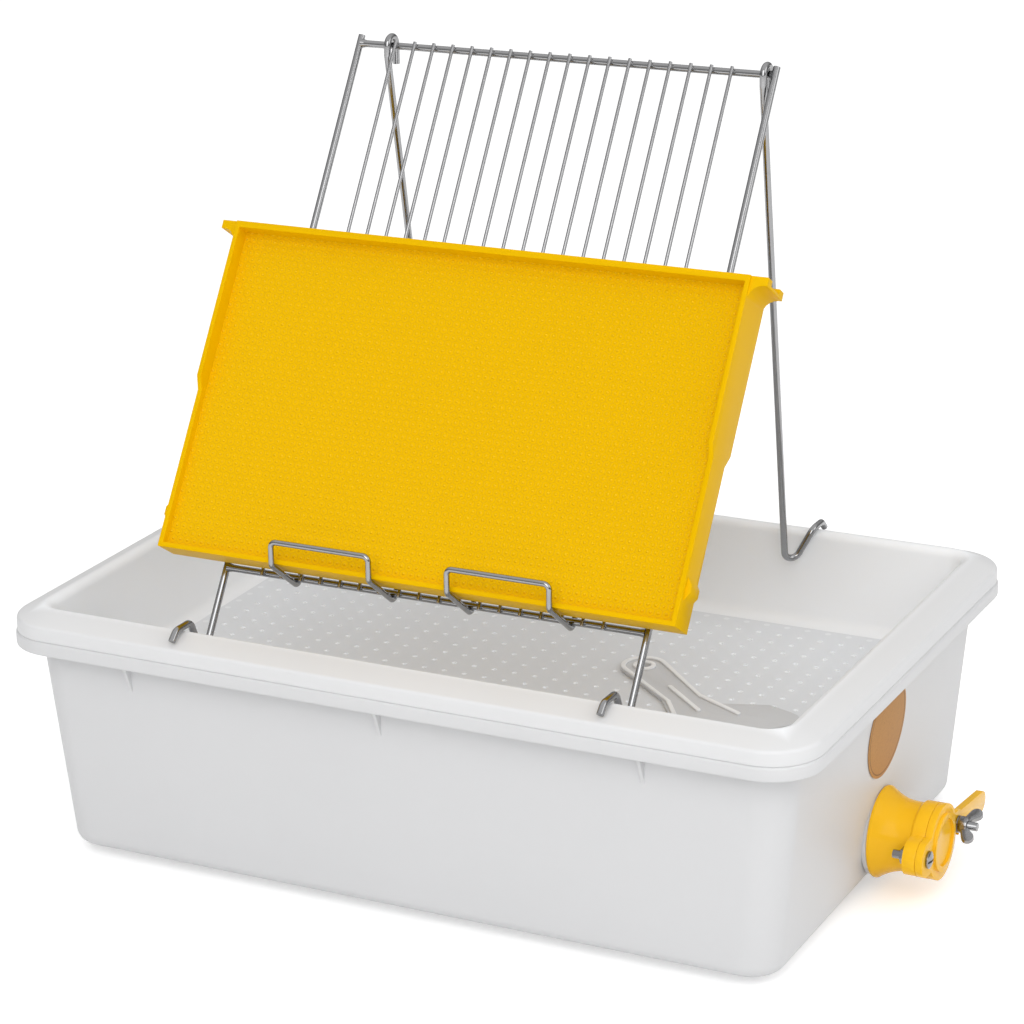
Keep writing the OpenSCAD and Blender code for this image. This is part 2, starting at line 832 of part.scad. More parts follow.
// A clip is one wire: up behind the ledge rod, under it, out, up, across and back
module frame_clip(x) {
    low = clip_low;
    corner = on_slope(0, clip_reach, low + clip_lift);
    rise = [0, 0, clip_rise];
    half = [clip_w / 2, 0, 0];
    mid = [x, 0, 0];
    tip = on_slope(0, low, clip_d);
    heel = on_slope(0, low, low);
    path = route([
        mid - half + tip,
        mid - half + heel,
        mid - half + corner,
        mid - half + corner + rise,
        mid + half + corner + rise,
        mid + half + corner,
        mid + half + heel,
        mid + half + tip
    ], clip_bend);
    color(steel)
        wire(path, clip_d, [1, 0, 0]);
}

module frame_clip_left() {
    frame_clip(-clip_x);
}

module frame_clip_right() {
    frame_clip(clip_x);
}

// A rear leg: an open eye over the top rod, a straight leg, a bend and a hook over the back rim
module rear_leg(side, eye_x) {
    top = on_slope(0, 0, rack_l);
    bend_z = crown_z - foot_dip;
    bend_y = rim_w / 2 - foot_inset;
    eye_top = top.z + eye_r;
    x = side * (rack_w / 2 - eye_x);
    foot = side * (rack_w / 2 - foot_x);
    tip = side * (rack_w / 2 - foot_x + foot_turn);
    path = route([
        [x, top.y + eye_r, top.z - eye_tail],
        [x, top.y + eye_r, eye_top],
        [x, top.y - eye_r, eye_top],
        [x, top.y - eye_r, top.z - eye_r],
        [foot, bend_y, bend_z],
        [tip, arm_y(hook_z), hook_z],
        [tip, shoulder_y, hook_z],
        [tip, tip_y, hook_z - tip_drop]
    ], eye_bend);
    color(steel)
        wire(path, rod_d, [1, 0, 0]);
}
// The eye's turns meet at the top, so its bends take all of the eye's radius
eye_join_share = 0.99;
eye_bend = eye_r * eye_join_share;

module rear_leg_left() {
    rear_leg(-1, left_eye_x);
}

module rear_leg_right() {
    rear_leg(1, right_eye_x);
}

// The comb frame stands on the clips and leans on the rest bars
comb_back = (rod_d + bar_d) / 2 + bar_d / 2 + comb_gap;
// Its front lower edge rests on the clips' arms, which rise as they come forward
clip_low = -(rod_d + clip_d) / 2;
comb_front = comb_back + (comb_wide_t + comb_narrow_t) / 2;
comb_low = clip_low + clip_d / 2 + comb_gap
    + clip_lift * (comb_front - clip_low) / (clip_reach - clip_low);
module comb_side(x, w) {
    mid = comb_wide_t / 2;
    thin = comb_narrow_t / 2;
    step = comb_h - comb_wide_h;
    translate([x, 0, 0])
        rotate([90, 0, 90])
            linear_extrude(w)
                polygon([
                    [-thin, 0], [thin, 0], [thin, step - comb_taper], [mid, step],
                    [mid, comb_h], [-mid, comb_h], [-mid, step], [-thin, step - comb_taper]
                ]);
}

// A tapered nub that keeps neighbouring frames apart
module comb_nub() {
    translate([0, lug_t / 4, nub_at - nub_l / 2])
        rotate([90, 0, 0])
            linear_extrude(lug_t / 2)
                polygon([
                    [-end_bar_w / 2, 0], [0, 0], [nub_h, nub_l / 3], [nub_h, nub_l * 2 / 3],
                    [0, nub_l], [-end_bar_w / 2, nub_l]
                ]);
}

// A lug with the bracket that carries it
module comb_lug() {
    top = comb_h - lug_drop;
    low = top - lug_h;
    notch_t = lug_t * notch_share;
    hollow_r = lug_l * hollow_share;
    difference() {
        translate([0, lug_t / 2, 0])
            rotate([90, 0, 0])
                linear_extrude(lug_t)
                    polygon(concat(
                        [[-end_bar_w / 2, top], [-end_bar_w / 2, low - hollow_r]],
                        [for (k = [0:fillet_steps])
                            let (a = 90 * k / fillet_steps)
                                [hollow_r * (1 - cos(a)), low - hollow_r * (1 - sin(a))]],
                        [[lug_l, low], [lug_l, top]]
                    ));
        translate([lug_l * notch_share, -notch_t / 2, top - lug_h * notch_depth_share])
            cube([lug_l, notch_t, lug_h]);
    }
}
// The hollow under a lug and the notch in its end, as shares of its length, thickness and height
hollow_share = 0.83;
notch_share = 0.5;
notch_depth_share = 0.6;

module comb_frame() {
    inner = comb_w - 2 * end_bar_w;
    lap = end_bar_w / 2;
    color(comb_yellow)
        on_rack()
            translate([-comb_shift, -comb_back - comb_wide_t / 2, comb_low]) {
                for (side = [0, 1])
                    mirror([side, 0, 0]) {
                        comb_side(comb_w / 2 - end_bar_w, end_bar_w);
                        translate([comb_w / 2, 0, 0]) {
                            comb_lug();
                            comb_nub();
                        }
                    }
                translate([-inner / 2 - lap, -comb_wide_t / 2, comb_h - top_bar_h])
                    cube([inner + 2 * lap, comb_wide_t, top_bar_h]);
                translate([-inner / 2 - lap, -comb_narrow_t / 2, 0])
                    cube([inner + 2 * lap, comb_narrow_t, bottom_bar_h]);
                translate([-inner / 2 - lap, -sheet_t / 2, bottom_bar_h / 2])
                    cube([inner + 2 * lap, sheet_t, comb_h - bottom_bar_h / 2 - top_bar_h / 2]);
            }
}

// The scraper lies on the tray floor: a bordered grip, a flared blade and three ribs
scraper_lift = 0.3;
grip_end_share = 0.5;
grip_taper_share = 0.8;
neck_half_share = 0.4;
edge_share = 0.95;
rib_start_share = 0.38;
neck_share = 0.54;
blade_share = [[0.67, 0.33], [0.79, 0.84], [0.92, 0.97], [0.97, 1]];
rib_share = [[0.32, 0.66], [0.5, 0.78]];
rib_flare_share = 0.19;
module scraper_grip(d) {
    hull() {
        circle(d = d);
        translate([scraper_l * grip_end_share, 0])
            circle(d = d * grip_taper_share);
    }
}

module scraper_outline() {
    half = scraper_blade_w / 2;
    neck = [scraper_l * neck_share - scraper_grip_w / 2, scraper_grip_w * neck_half_share];
    upper = [for (p = blade_share) [scraper_l * p.x - scraper_grip_w / 4, half * p.y]];
    edge = [[scraper_l, half * edge_share]];
    all = concat([neck], upper, edge);
    scraper_grip(scraper_grip_w);
    polygon(concat(all, [for (i = [len(all) - 1:-1:0]) [all[i].x, -all[i].y]]));
}

module rib_line(a, b) {
    hull() {
        translate(a)
            circle(d = scraper_rib_w);
        translate(b)
            circle(d = scraper_rib_w);
    }
}

module scraper() {
    color(white)
        translate([scraper_x, scraper_y, floor_z + scraper_lift])
            rotate([0, 0, scraper_turn])
                difference() {
                    union() {
                        linear_extrude(scraper_t)
                            scraper_outline();
                        linear_extrude(scraper_t + scraper_rib_h) {
                            difference() {
                                scraper_grip(scraper_grip_w);
                                scraper_grip(scraper_grip_w - 2 * scraper_rib_w);
                                translate([scraper_l * grip_end_share, -scraper_grip_w])
                                    square(2 * scraper_grip_w);
                            }
                            circle(d = hang_d + 2 * scraper_rib_w);
                            rib_line([scraper_l * rib_share[0].x, 0], [scraper_l * rib_share[0].y, 0]);
                            for (side = [-1, 1])
                                rib_line(
                                    [scraper_l * rib_share[1].x, side * scraper_grip_w * rib_start_share],
                                    [scraper_l * rib_share[1].y, side * scraper_blade_w * rib_flare_share]
                                );
                        }
                    }
                    translate([0, 0, -cut])
                        cylinder(d = hang_d, h = scraper_t + scraper_rib_h + 2 * cut);
                }
}

tub();
strainer_tray();
round_label();
gate_gasket();
gate_body();
gate_lock_nut();
gate_lid_seal();
gate_lid();
gate_pivot_screw();
gate_pivot_nut();
gate_clamp_bolt();
gate_clamp_washer();
gate_wing_nut();
rack_side_rod_left();
rack_side_rod_right();
rack_top_rod();
rack_ledge_rod();
rack_rest_bars();
frame_clip_left();
frame_clip_right();
rear_leg_left();
rear_leg_right();
comb_frame();
scraper();
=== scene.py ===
import math
import bpy
import bmesh
from mathutils import Matrix, Vector


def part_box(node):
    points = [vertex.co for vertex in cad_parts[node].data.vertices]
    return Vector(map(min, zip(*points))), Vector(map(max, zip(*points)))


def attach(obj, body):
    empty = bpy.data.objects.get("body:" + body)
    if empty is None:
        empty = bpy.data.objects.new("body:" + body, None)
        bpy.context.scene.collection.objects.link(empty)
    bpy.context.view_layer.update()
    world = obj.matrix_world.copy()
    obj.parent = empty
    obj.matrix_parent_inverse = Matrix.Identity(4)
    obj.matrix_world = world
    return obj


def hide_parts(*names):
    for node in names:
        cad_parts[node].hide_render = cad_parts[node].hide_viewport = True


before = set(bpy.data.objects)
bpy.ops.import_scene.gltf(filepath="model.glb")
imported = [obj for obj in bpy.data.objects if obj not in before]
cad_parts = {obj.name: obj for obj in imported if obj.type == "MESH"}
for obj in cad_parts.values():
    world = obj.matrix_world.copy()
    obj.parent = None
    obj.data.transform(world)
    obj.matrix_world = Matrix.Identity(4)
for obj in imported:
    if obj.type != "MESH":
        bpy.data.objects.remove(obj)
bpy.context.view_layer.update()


# The tub is one deep bin of milky polypropylene, injection moulded in a single shot.
# Its walls lean out to a flat flange, which turns down into a short skirt with small ribs under it.
class Tone:
    """A socket of a node tree that takes part in Python sums."""

    def __init__(self, tree, socket=None):
        self.tree, self.socket = tree, socket

    def node(self, kind, settings=None, out=0, **values):
        made = self.tree.nodes.new(kind)
        for name, value in (settings or {}).items():
            if name == "stops":
                steps = made.color_ramp
                while len(steps.elements) < len(value):
                    steps.elements.new(0.5)
                for stop, (at, shade) in zip(steps.elements, value):
                    stop.position, stop.color = at, shade
            else:
                setattr(made, name, value)
        for name, value in values.items():
            place = int(name[1:]) if name[1:].isdigit() else name.replace("_", " ")
            if isinstance(value, Tone):
                self.tree.links.new(value.socket, made.inputs[place])
            else:
                made.inputs[place].default_value = value
        return Tone(self.tree, made.outputs[out])

    def work(self, operation, *numbers):
        inputs = {f"i{k}": number for k, number in enumerate(numbers)}
        return self.node("ShaderNodeMath", {"operation": operation}, **inputs)

    def __add__(self, other):
        return self.work("ADD", self, other)

    def __sub__(self, other):
        return self.work("SUBTRACT", self, other)

    def __rsub__(self, other):
        return self.work("SUBTRACT", other, self)

    def __mul__(self, other):
        return self.work("MULTIPLY", self, other)

    __radd__, __rmul__ = __add__, __mul__


def surface(name, **plain):
    """A new material: its maths, its place on the piece, and a call that finishes it."""
    material = bpy.data.materials.new(name)
    material.use_nodes = True
    tree = material.node_tree
    shader = tree.nodes["Principled BSDF"]
    for socket, value in plain.items():
        shader.inputs[socket.replace("_", " ")].default_value = value
    maths = Tone(tree)
    place = maths.node("ShaderNodeTexCoord", out=3)

    def done(height, depth, strength=0.5, colour=None, rough=None, glow=None):
        for socket, value in (("Base Color", colour), ("Roughness", rough), ("Emission Color", glow)):
            if value is not None:
                tree.links.new(value.socket, shader.inputs[socket])
        bump = maths.node("ShaderNodeBump", Strength=strength, Distance=depth, Height=height)
        tree.links.new(bump.socket, shader.inputs["Normal"])
        return material

    return maths, place, done


def noise(maths, place, scale, detail=3.0, rough=0.5):
    return maths.node("ShaderNodeTexNoise", Vector=place, Scale=scale, Detail=detail, Roughness=rough)


def greys(maths, value, *stops):
    """A run of greys over a value."""
    shades = [(at, (grey, grey, grey, 1)) for at, grey in stops]
    return maths.node("ShaderNodeValToRGB", {"stops": shades}, Fac=value)


def blend_of(maths, share, one, other):
    return maths.node("ShaderNodeMix", {"data_type": "RGBA"}, out=2, i0=share, i6=one, i7=other)


def plastic(name, pale, deep, rough, shine=0.5, painted_light=None):
    """Moulded plastic: slow flow clouds, a fine satin grain, faint scuffs, and painted light and shade where
    they are given.
    """
    maths, place, done = surface(name, IOR=1.49, Specular_IOR_Level=shine)
    flow = noise(maths, place, scale=9.0, detail=4.0, rough=0.55)
    fine = noise(maths, place, scale=900.0, detail=2.0)
    stretched = maths.node("ShaderNodeMapping", Vector=place, Scale=(30.0, 90.0, 420.0))
    scuff = greys(maths, noise(maths, stretched, scale=1.0, detail=5.0, rough=0.65), (0.6, 0), (0.75, 1))
    colour = blend_of(maths, flow, (*deep, 1), (*pale, 1))
    # Painted light and shade, where given, is laid over the colour here
    if painted_light:
        colour = painted_light(maths, place, colour)
    return done(fine + 0.4 * scuff, depth=0.00004, strength=0.35, colour=colour,
                rough=rough + 0.12 * (flow - 0.5) + 0.1 * scuff + 0.06 * (fine - 0.5))


def quarter_turn(steps):
    """Even angles over a quarter of a turn."""
    return [math.pi / 2 * k / steps for k in range(steps + 1)]


def rounded(half_x, half_y, z, r):
    """The points of a rounded rectangle, counter-clockwise."""
    points = []
    for quarter, (side_x, side_y) in enumerate(((1, 1), (-1, 1), (-1, -1), (1, -1))):
        mid_x, mid_y = side_x * (half_x - r), side_y * (half_y - r)
        for a in quarter_turn(12):
            a += math.pi / 2 * quarter
            points.append((mid_x + r * math.cos(a), mid_y + r * math.sin(a), z))
    return points


def loft(mesh_into, rings, closed=False):
    """Skins a run of rings, joined end to end or capped."""
    rows = [[mesh_into.verts.new(p) for p in ring] for ring in rings]
    count = len(rows[0])
    for i in range(len(rows) if closed else len(rows) - 1):
        low, high = rows[i], rows[(i + 1) % len(rows)]
        for j in range(count):
            mesh_into.faces.new((low[j], low[(j + 1) % count], high[(j + 1) % count], high[j]))
    if not closed:
        mesh_into.faces.new(rows[0])
        mesh_into.faces.new(rows[-1])


def piece(name, shape, material, crease=35):
    """Turns a bmesh or mesh into a smooth-shaded object with its normals outwards."""
    if isinstance(shape, bmesh.types.BMesh):
        bmesh.ops.recalc_face_normals(shape, faces=shape.faces)
        mesh = bpy.data.meshes.new(name)
        shape.to_mesh(mesh)
        shape.free()
    else:
        mesh = shape
        mesh.name = name
    mesh.shade_smooth()
    mesh.set_sharp_from_angle(angle=math.radians(crease))
    mesh.materials.clear()
    mesh.materials.append(material)
    made = bpy.data.objects.new(name, mesh)
    bpy.context.scene.collection.objects.link(made)
    return made


def settle(made, crease=35):
    """Applies the modifiers of a piece to its mesh."""
    done = bpy.data.meshes.new_from_object(made.evaluated_get(bpy.context.evaluated_depsgraph_get()))
    made.modifiers.clear()
    made.data = done
    done.shade_smooth()
    done.set_sharp_from_angle(angle=math.radians(crease))
    return made


rim_x, rim_y, rim_r, wall_r = 0.300, 0.2025, 0.037, 0.025
rim_z, foot_z, skirt, flange, wall = 0.1685, 0.006, 0.010, 0.016, 0.0025
lean_x, lean_y, fillet, plinth = 0.0135, 0.0075, 0.010, 0.020
rim_edge, mouth_r, skirt_bend, lip_rise = 0.002, 0.003, 0.001, 0.0012
throat_drop, throat_in = 0.002, 0.0015


def wall_at(z, inside=0.0):
    """The tub wall's ring at a height, moved in from its outer face."""
    low = (rim_z - z) / (rim_z - foot_z)
    return rounded(rim_x - flange - lean_x * low - inside, rim_y - flange - lean_y * low - inside, z,
                   max(wall_r - inside, wall))


def rim_at(inset, z):
    return rounded(rim_x - inset, rim_y - inset, z, rim_r - inset)


def foot_at(inside, z):
    """A ring moved in from the foot of the wall and set to a height."""
    return [(x, y, z) for x, y, _ in wall_at(foot_z, inside)]


tub_rings = [foot_at(plinth, 0.0), foot_at(plinth, foot_z)]
for a in quarter_turn(8):
    tub_rings.append(foot_at(fillet * (1 - math.sin(a)), foot_z + fillet * (1 - math.cos(a))))
tub_rings += [wall_at(rim_z - wall - throat_drop), rim_at(flange - throat_in, rim_z - wall),
              rim_at(wall + skirt_bend, rim_z - wall), rim_at(wall, rim_z - wall - skirt_bend),
              rim_at(wall, rim_z - skirt + lip_rise)]
for a in quarter_turn(6):
    out, down = math.cos(2 * a), math.sin(2 * a)
    tub_rings.append(rim_at(wall / 2 + wall / 2 * out, rim_z - skirt + wall / 2 * (1 - down)))
for a in quarter_turn(5):
    tub_rings.append(rim_at(rim_edge * (1 - math.cos(a)), rim_z - rim_edge * (1 - math.sin(a))))
tub_rings.append(rim_at(flange + wall - mouth_r, rim_z))
for a in quarter_turn(4):
    tub_rings.append(wall_at(rim_z - mouth_r * (1 - math.cos(a)), wall - mouth_r * (1 - math.sin(a))))
for a in reversed(quarter_turn(8)):
    tub_rings.append(foot_at(wall + fillet * (1 - math.sin(a)), foot_z + wall + fillet * (1 - math.cos(a))))
tub_rings += [foot_at(plinth + wall, foot_z + wall), foot_at(plinth + wall, wall)]
tub_mesh = bmesh.new()
loft(tub_mesh, tub_rings)
milk_white = plastic("milky_polypropylene", (0.705, 0.707, 0.715), (0.675, 0.677, 0.685), 0.42)
tub = piece("tub_shell", tub_mesh, milk_white)

# The gate's neck goes through a round hole with a flat pad outside the wall and a boss inside it
gate_at = Vector((0.275983, 0.007, 0.040))
neck_hole, boss_r, boss_deep = 0.0203, 0.025, 0.01798
pad_r, pad_deep, pad_edge, pad_lift = 0.03125, 0.004, 0.0008, 0.0005
cut_reach, cut_core = 0.03, 0.0001


def turned(profile, at, sides=64):
    """A closed lathe round an axis along +X: profile points are (out along X, radius)."""
    made = bmesh.new()
    around = [(math.cos(math.tau * j / sides), math.sin(math.tau * j / sides)) for j in range(sides)]
    rings = [[(at.x + out, at.y + r * y, at.z + r * z) for y, z in around] for out, r in profile]
    loft(made, rings, closed=True)
    return made


cutter = piece("hole_cutter", turned([(-cut_reach, cut_core), (-cut_reach, neck_hole), (cut_reach, neck_hole),
                                      (cut_reach, cut_core)], gate_at), milk_white)
cut = tub.modifiers.new("gate hole", "BOOLEAN")
cut.operation, cut.object, cut.solver = "DIFFERENCE", cutter, "EXACT"
settle(tub)
bpy.data.objects.remove(cutter)
seat = turned([(-boss_deep, neck_hole), (-boss_deep, boss_r), (-pad_deep, boss_r),
               (-pad_deep, pad_r - pad_edge), (-pad_edge, pad_r), (0.0, pad_r - pad_edge),
               (0.0, neck_hole)], gate_at)
bmesh.ops.bisect_plane(seat, geom=seat.verts[:] + seat.edges[:] + seat.faces[:],
                       plane_co=(0, 0, foot_z + pad_lift), plane_no=(0, 0, -1), clear_outer=True)
bmesh.ops.holes_fill(seat, edges=seat.edges)
gate_seat = piece("tub_gate_seat", seat, milk_white)

# Small ribs stand under the flange of both long sides
rib_shares, rib_h, rib_half, rib_root, rib_in = (-0.337, -0.013, 0.305), 0.032, 0.0015, 0.001, 0.002
rib_top = rim_z - wall / 2
foot_y, skirt_y, top_y = [rim_y - flange - lean_y * (rim_z - z) / (rim_z - foot_z)
                          for z in (rib_top - rib_h, rim_z - skirt, rib_top)]
section = [(foot_y - rib_root, rib_top - rib_h), (foot_y, rib_top - rib_h),
           (skirt_y + flange / 2, rim_z - skirt), (rim_y - rib_in, rim_z - skirt + wall),
           (rim_y - rib_in, rib_top), (top_y - rib_root, rib_top)]
ribs = bmesh.new()
for share in rib_shares:
    sides = [share * 2 * rim_x + half for half in (-rib_half, rib_half)]
    for face in (-1, 1):
        loft(ribs, [[(x, face * y, z) for y, z in section] for x in sides])
tub_ribs = piece("tub_rim_ribs", ribs, milk_white)
soft = tub_ribs.modifiers.new("soft edges", "BEVEL")
soft.width, soft.segments = 0.0005, 2
settle(tub_ribs)
for part in (tub, gate_seat, tub_ribs):
    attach(part, "tank")
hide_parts("tub")


# The strainer tray hangs in the tub by a rim that slopes up to a rounded ridge.
# It is moulded from the same milky plastic, and its floor is drilled so that honey drains through.
def grower(name, sizes):
    """A Geometry Nodes tree with named inputs: its maths and the inputs as sockets."""
    tree = bpy.data.node_groups.new(name, "GeometryNodeTree")
    tree.interface.new_socket("Geometry", in_out="INPUT", socket_type="NodeSocketGeometry")
    for size, value in sizes.items():
        kind = "NodeSocketInt" if isinstance(value, int) else "NodeSocketFloat"
        tree.interface.new_socket(size, in_out="INPUT", socket_type=kind).default_value = value
    tree.interface.new_socket("Geometry", in_out="OUTPUT", socket_type="NodeSocketGeometry")
    start = tree.nodes.new("NodeGroupInput")
    return Tone(tree), {socket.name: Tone(tree, socket) for socket in start.outputs if socket.name}


def grown(name, maths, geometry, material, sizes, seed_mesh=None, crease=35):
    """Ends a tree in plain geometry with its material, and makes the piece from it."""
    tree = maths.tree
    plain = maths.node("GeometryNodeRealizeInstances", Geometry=geometry)
    plain = maths.node("GeometryNodeSetMaterial", Geometry=plain, Material=material)
    tree.links.new(plain.socket, tree.nodes.new("NodeGroupOutput").inputs[0])
    made = piece(name, seed_mesh or bpy.data.meshes.new(name), material)
    mod = made.modifiers.new("grow", "NODES")
    mod.node_group = tree
    for item in tree.interface.items_tree:
        if item.item_type == "SOCKET" and item.in_out == "INPUT" and item.name in sizes:
            mod[item.identifier] = sizes[item.name]
    return settle(made, crease)


def joined(maths, first, *others):
    """Several geometries as one."""
    whole = maths.node("GeometryNodeJoinGeometry", Geometry=first)
    for other in others:
        maths.tree.links.new(other.socket, whole.socket.node.inputs[0])
    return whole


def shift(maths, **axes):
    return maths.node("ShaderNodeCombineXYZ", **axes)


def along(maths, axis, place):
    """One coordinate of a place: 0, 1 and 2 are X, Y and Z."""
    return maths.node("ShaderNodeSeparateXYZ", out=axis, Vector=place)


tray_in, ridge, face_h, rise, tray_deep, bend = 0.0265, 0.0065, 0.011, 0.0065, 0.0715, 0.008
tray_edge, face_bend, face_edge, brow_r = 0.001, 0.001, 0.0005, 0.003
face_z = rim_z + face_h
ridge_z = face_z + rise
tray_floor = ridge_z - tray_deep
tray_wall_in = tray_in - flange


def tray_at(z, inside=0.0):
    return wall_at(z, tray_wall_in + inside)


def ridge_at(out, z):
    """A ring moved out from the top of the tray wall and set to a height."""
    return [(x, y, z) for x, y, _ in wall_at(ridge_z - ridge, tray_wall_in - out)]


tray_rings = [tray_at(tray_floor - wall, -wall), tray_at(ridge_z - ridge, -wall),
              ridge_at(ridge, ridge_z - wall), rim_at(tray_edge + wall + face_bend, face_z - wall),
              rim_at(tray_edge + wall, face_z - wall - face_bend), rim_at(tray_edge + wall, rim_z),
              rim_at(tray_edge + face_edge, rim_z), rim_at(tray_edge, rim_z + face_edge)]
for a in quarter_turn(7):
    tray_rings.append(rim_at(tray_edge + brow_r * (1 - math.cos(a)), face_z - brow_r * (1 - math.sin(a))))
for a in reversed(quarter_turn(12)):
    tray_rings.append(ridge_at(ridge * (1 - math.cos(a)), ridge_z - ridge + ridge * math.sin(a)))
for a in reversed(quarter_turn(8)):
    tray_rings.append(tray_at(tray_floor + bend * (1 - math.cos(a)), bend * (1 - math.sin(a))))
tray_rings.append(tray_at(tray_floor - wall, bend))
tray_mesh = bmesh.new()
loft(tray_mesh, tray_rings, closed=True)


def painted_inner_light(maths, place, colour):
    """Painted light: the tray is painted paler inside its ridge than on its rim, for light let through its
    milky walls.
    """
    ridge_in = 0.0195
    over_x, over_y = [maths.work("ABSOLUTE", along(maths, axis, place)) - half
                      for axis, half in ((0, rim_x - ridge_in), (1, rim_y - ridge_in))]
    share = maths.node("ShaderNodeMapRange", {"interpolation_type": "SMOOTHSTEP"},
                       Value=maths.work("MAXIMUM", over_x, over_y), From_Min=-0.006, From_Max=0.004)
    # Painted light: the pale colour laid inside the ridge
    return blend_of(maths, share, (0.92, 0.935, 0.955, 1), colour)


tray_white = plastic("milky_tray_polypropylene", (0.765, 0.768, 0.775), (0.735, 0.738, 0.745), 0.44,
                     painted_light=painted_inner_light)
tray = piece("tray_shell", tray_mesh, tray_white, 28)

# The drilled floor: a plate with a square grid of holes, with painted light at each hole: a paler ring round
# its edge and a glow in its wall, for light that comes through
floor_half = [max(p[i] for p in tray_at(tray_floor, bend)) for i in (0, 1)]
drill = {"Half length": floor_half[0], "Half width": floor_half[1],
         "Corner": max(wall_r - tray_wall_in - bend, wall), "Pitch": 0.016, "Hole radius": 0.0016,
         "Thickness": wall, "Level": tray_floor - wall, "Along": 31, "Across": 19}
floor_tree, size = grower("drilled floor", drill)
edge = floor_tree.node("GeometryNodeCurvePrimitiveQuadrilateral", Width=size["Half length"] * 2,
                       Height=size["Half width"] * 2)
edge = floor_tree.node("GeometryNodeFilletCurve", {"mode": "POLY"}, Curve=edge, Count=12,
                       Radius=size["Corner"])
hole = floor_tree.node("GeometryNodeCurvePrimitiveCircle", Resolution=14, Radius=size["Hole radius"])
grid = floor_tree.node("GeometryNodeMeshGrid", Vertices_X=size["Along"], Vertices_Y=size["Across"],
                       Size_X=(size["Along"] - 1) * size["Pitch"],
                       Size_Y=(size["Across"] - 1) * size["Pitch"])
holes = floor_tree.node("GeometryNodeInstanceOnPoints", Points=grid, Instance=hole)
holes = floor_tree.node("GeometryNodeRealizeInstances", Geometry=holes)
sheet = floor_tree.node("GeometryNodeFillCurve", {"mode": "TRIANGLES"}, Curve=joined(floor_tree, edge, holes))
over = floor_tree.node("GeometryNodeExtrudeMesh", {"mode": "FACES"}, Mesh=sheet, Individual=False,
                       Offset=shift(floor_tree, Z=size["Thickness"]), Offset_Scale=1.0)
plate = joined(floor_tree, over, floor_tree.node("GeometryNodeFlipFaces", Mesh=sheet))
plate = floor_tree.node("GeometryNodeMergeByDistance", Geometry=plate, Distance=1e-6)
plate = floor_tree.node("GeometryNodeTransform", Geometry=plate,
                        Translation=shift(floor_tree, Z=size["Level"]))

maths, place, done = surface("milky_drilled_floor", IOR=1.49, Emission_Strength=1.0)
painted_light_r, hole_slack, floor_skin = 0.0024, 1.01, 0.0001
from_x, from_y = [maths.work("PINGPONG", along(maths, axis, place), drill["Pitch"] / 2) for axis in (0, 1)]
from_hole = maths.work("SQRT", from_x * from_x + from_y * from_y)
# Painted light: a paler ring round each hole
painted_light_ring = greys(maths, from_hole * (1 / painted_light_r), (0.0, 1), (0.9, 1), (1.0, 0))
cloud = noise(maths, place, scale=9.0, detail=4.0, rough=0.55)
satin = noise(maths, place, scale=900.0, detail=2.0)
flow = blend_of(maths, cloud, (0.75, 0.77, 0.80, 1), (0.78, 0.80, 0.825, 1))
# Painted glow: the walls of the holes give off light of their own, for light coming through them
painted_glow_hole = maths.work("LESS_THAN", from_hole, drill["Hole radius"] * hole_slack)
below = maths.work("LESS_THAN", along(maths, 2, place), tray_floor - floor_skin)
floor_white = done(satin, depth=0.00004, strength=0.3,
                   colour=blend_of(maths, painted_light_ring, flow, (0.85, 0.87, 0.895, 1)),
                   rough=0.44 + 0.12 * (cloud - 0.5), glow=0.19 * (painted_glow_hole * below))
drain_floor = grown("tray_drilled_floor", floor_tree, plate, floor_white, drill)
for part in (tray, drain_floor):
    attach(part, "strainer")
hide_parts("strainer_tray")


# The rack is bright drawn steel wire: two side rods bent into hooks, two cross rods and thin rest bars.
# All of it is spot welded, and two bent clips on the ledge rod carry the comb frame.
slope = math.radians(56.9)
ledge = Vector((0, -0.122, 0.212))
up = Vector((0, math.cos(slope), math.sin(slope)))
off = Vector((0, -math.sin(slope), math.cos(slope)))
rod_r, bar_r, clip_r, rack_half, rack_long = 0.0025, 0.00125, 0.002, 0.159, 0.3895
wire_gap, rod_over, rod_bend, rod_dip = 0.0005, 0.006, 0.007, 0.030
hook_z = ridge_z + wire_gap + rod_r
tip_in, tip_run, tip_drop = 0.006, 0.006, 0.0056
tip_y, shoulder_y, tip_z = rim_y - tip_in, rim_y - tip_in - tip_run, hook_z - tip_drop


def arm_y(z):
    """How far out a wire stands along the inside of the tray wall at a height."""
    return max(p[1] for p in tray_at(z)) - wire_gap - rod_r


def steel(name, shade, rough):
    """Drawn wire: a fine grain, soft patches of dulling and a little dirt."""
    maths, place, done = surface(name, Metallic=1.0)
    patch = noise(maths, place, scale=60.0, detail=4.0, rough=0.6)
    fine = noise(maths, place, scale=1600.0, detail=2.0)
    dark = greys(maths, noise(maths, place, scale=140.0, detail=3.0, rough=0.7), (0.55, 0), (0.8, 1))
    dirt = [c * 0.55 for c in shade]
    return done(fine + 0.5 * patch, depth=0.00002, strength=0.3,
                colour=blend_of(maths, 0.25 * dark + 0.2 * (patch - 0.3), (*shade, 1), (*dirt, 1)),
                rough=rough + 0.16 * (patch - 0.5) + 0.12 * dark)


def route(path):
    """An open run of straight edges, to be bent and thickened."""
    mesh = bpy.data.meshes.new("route")
    mesh.from_pydata([tuple(p) for p in path], [(k, k + 1) for k in range(len(path) - 1)], [])
    return mesh


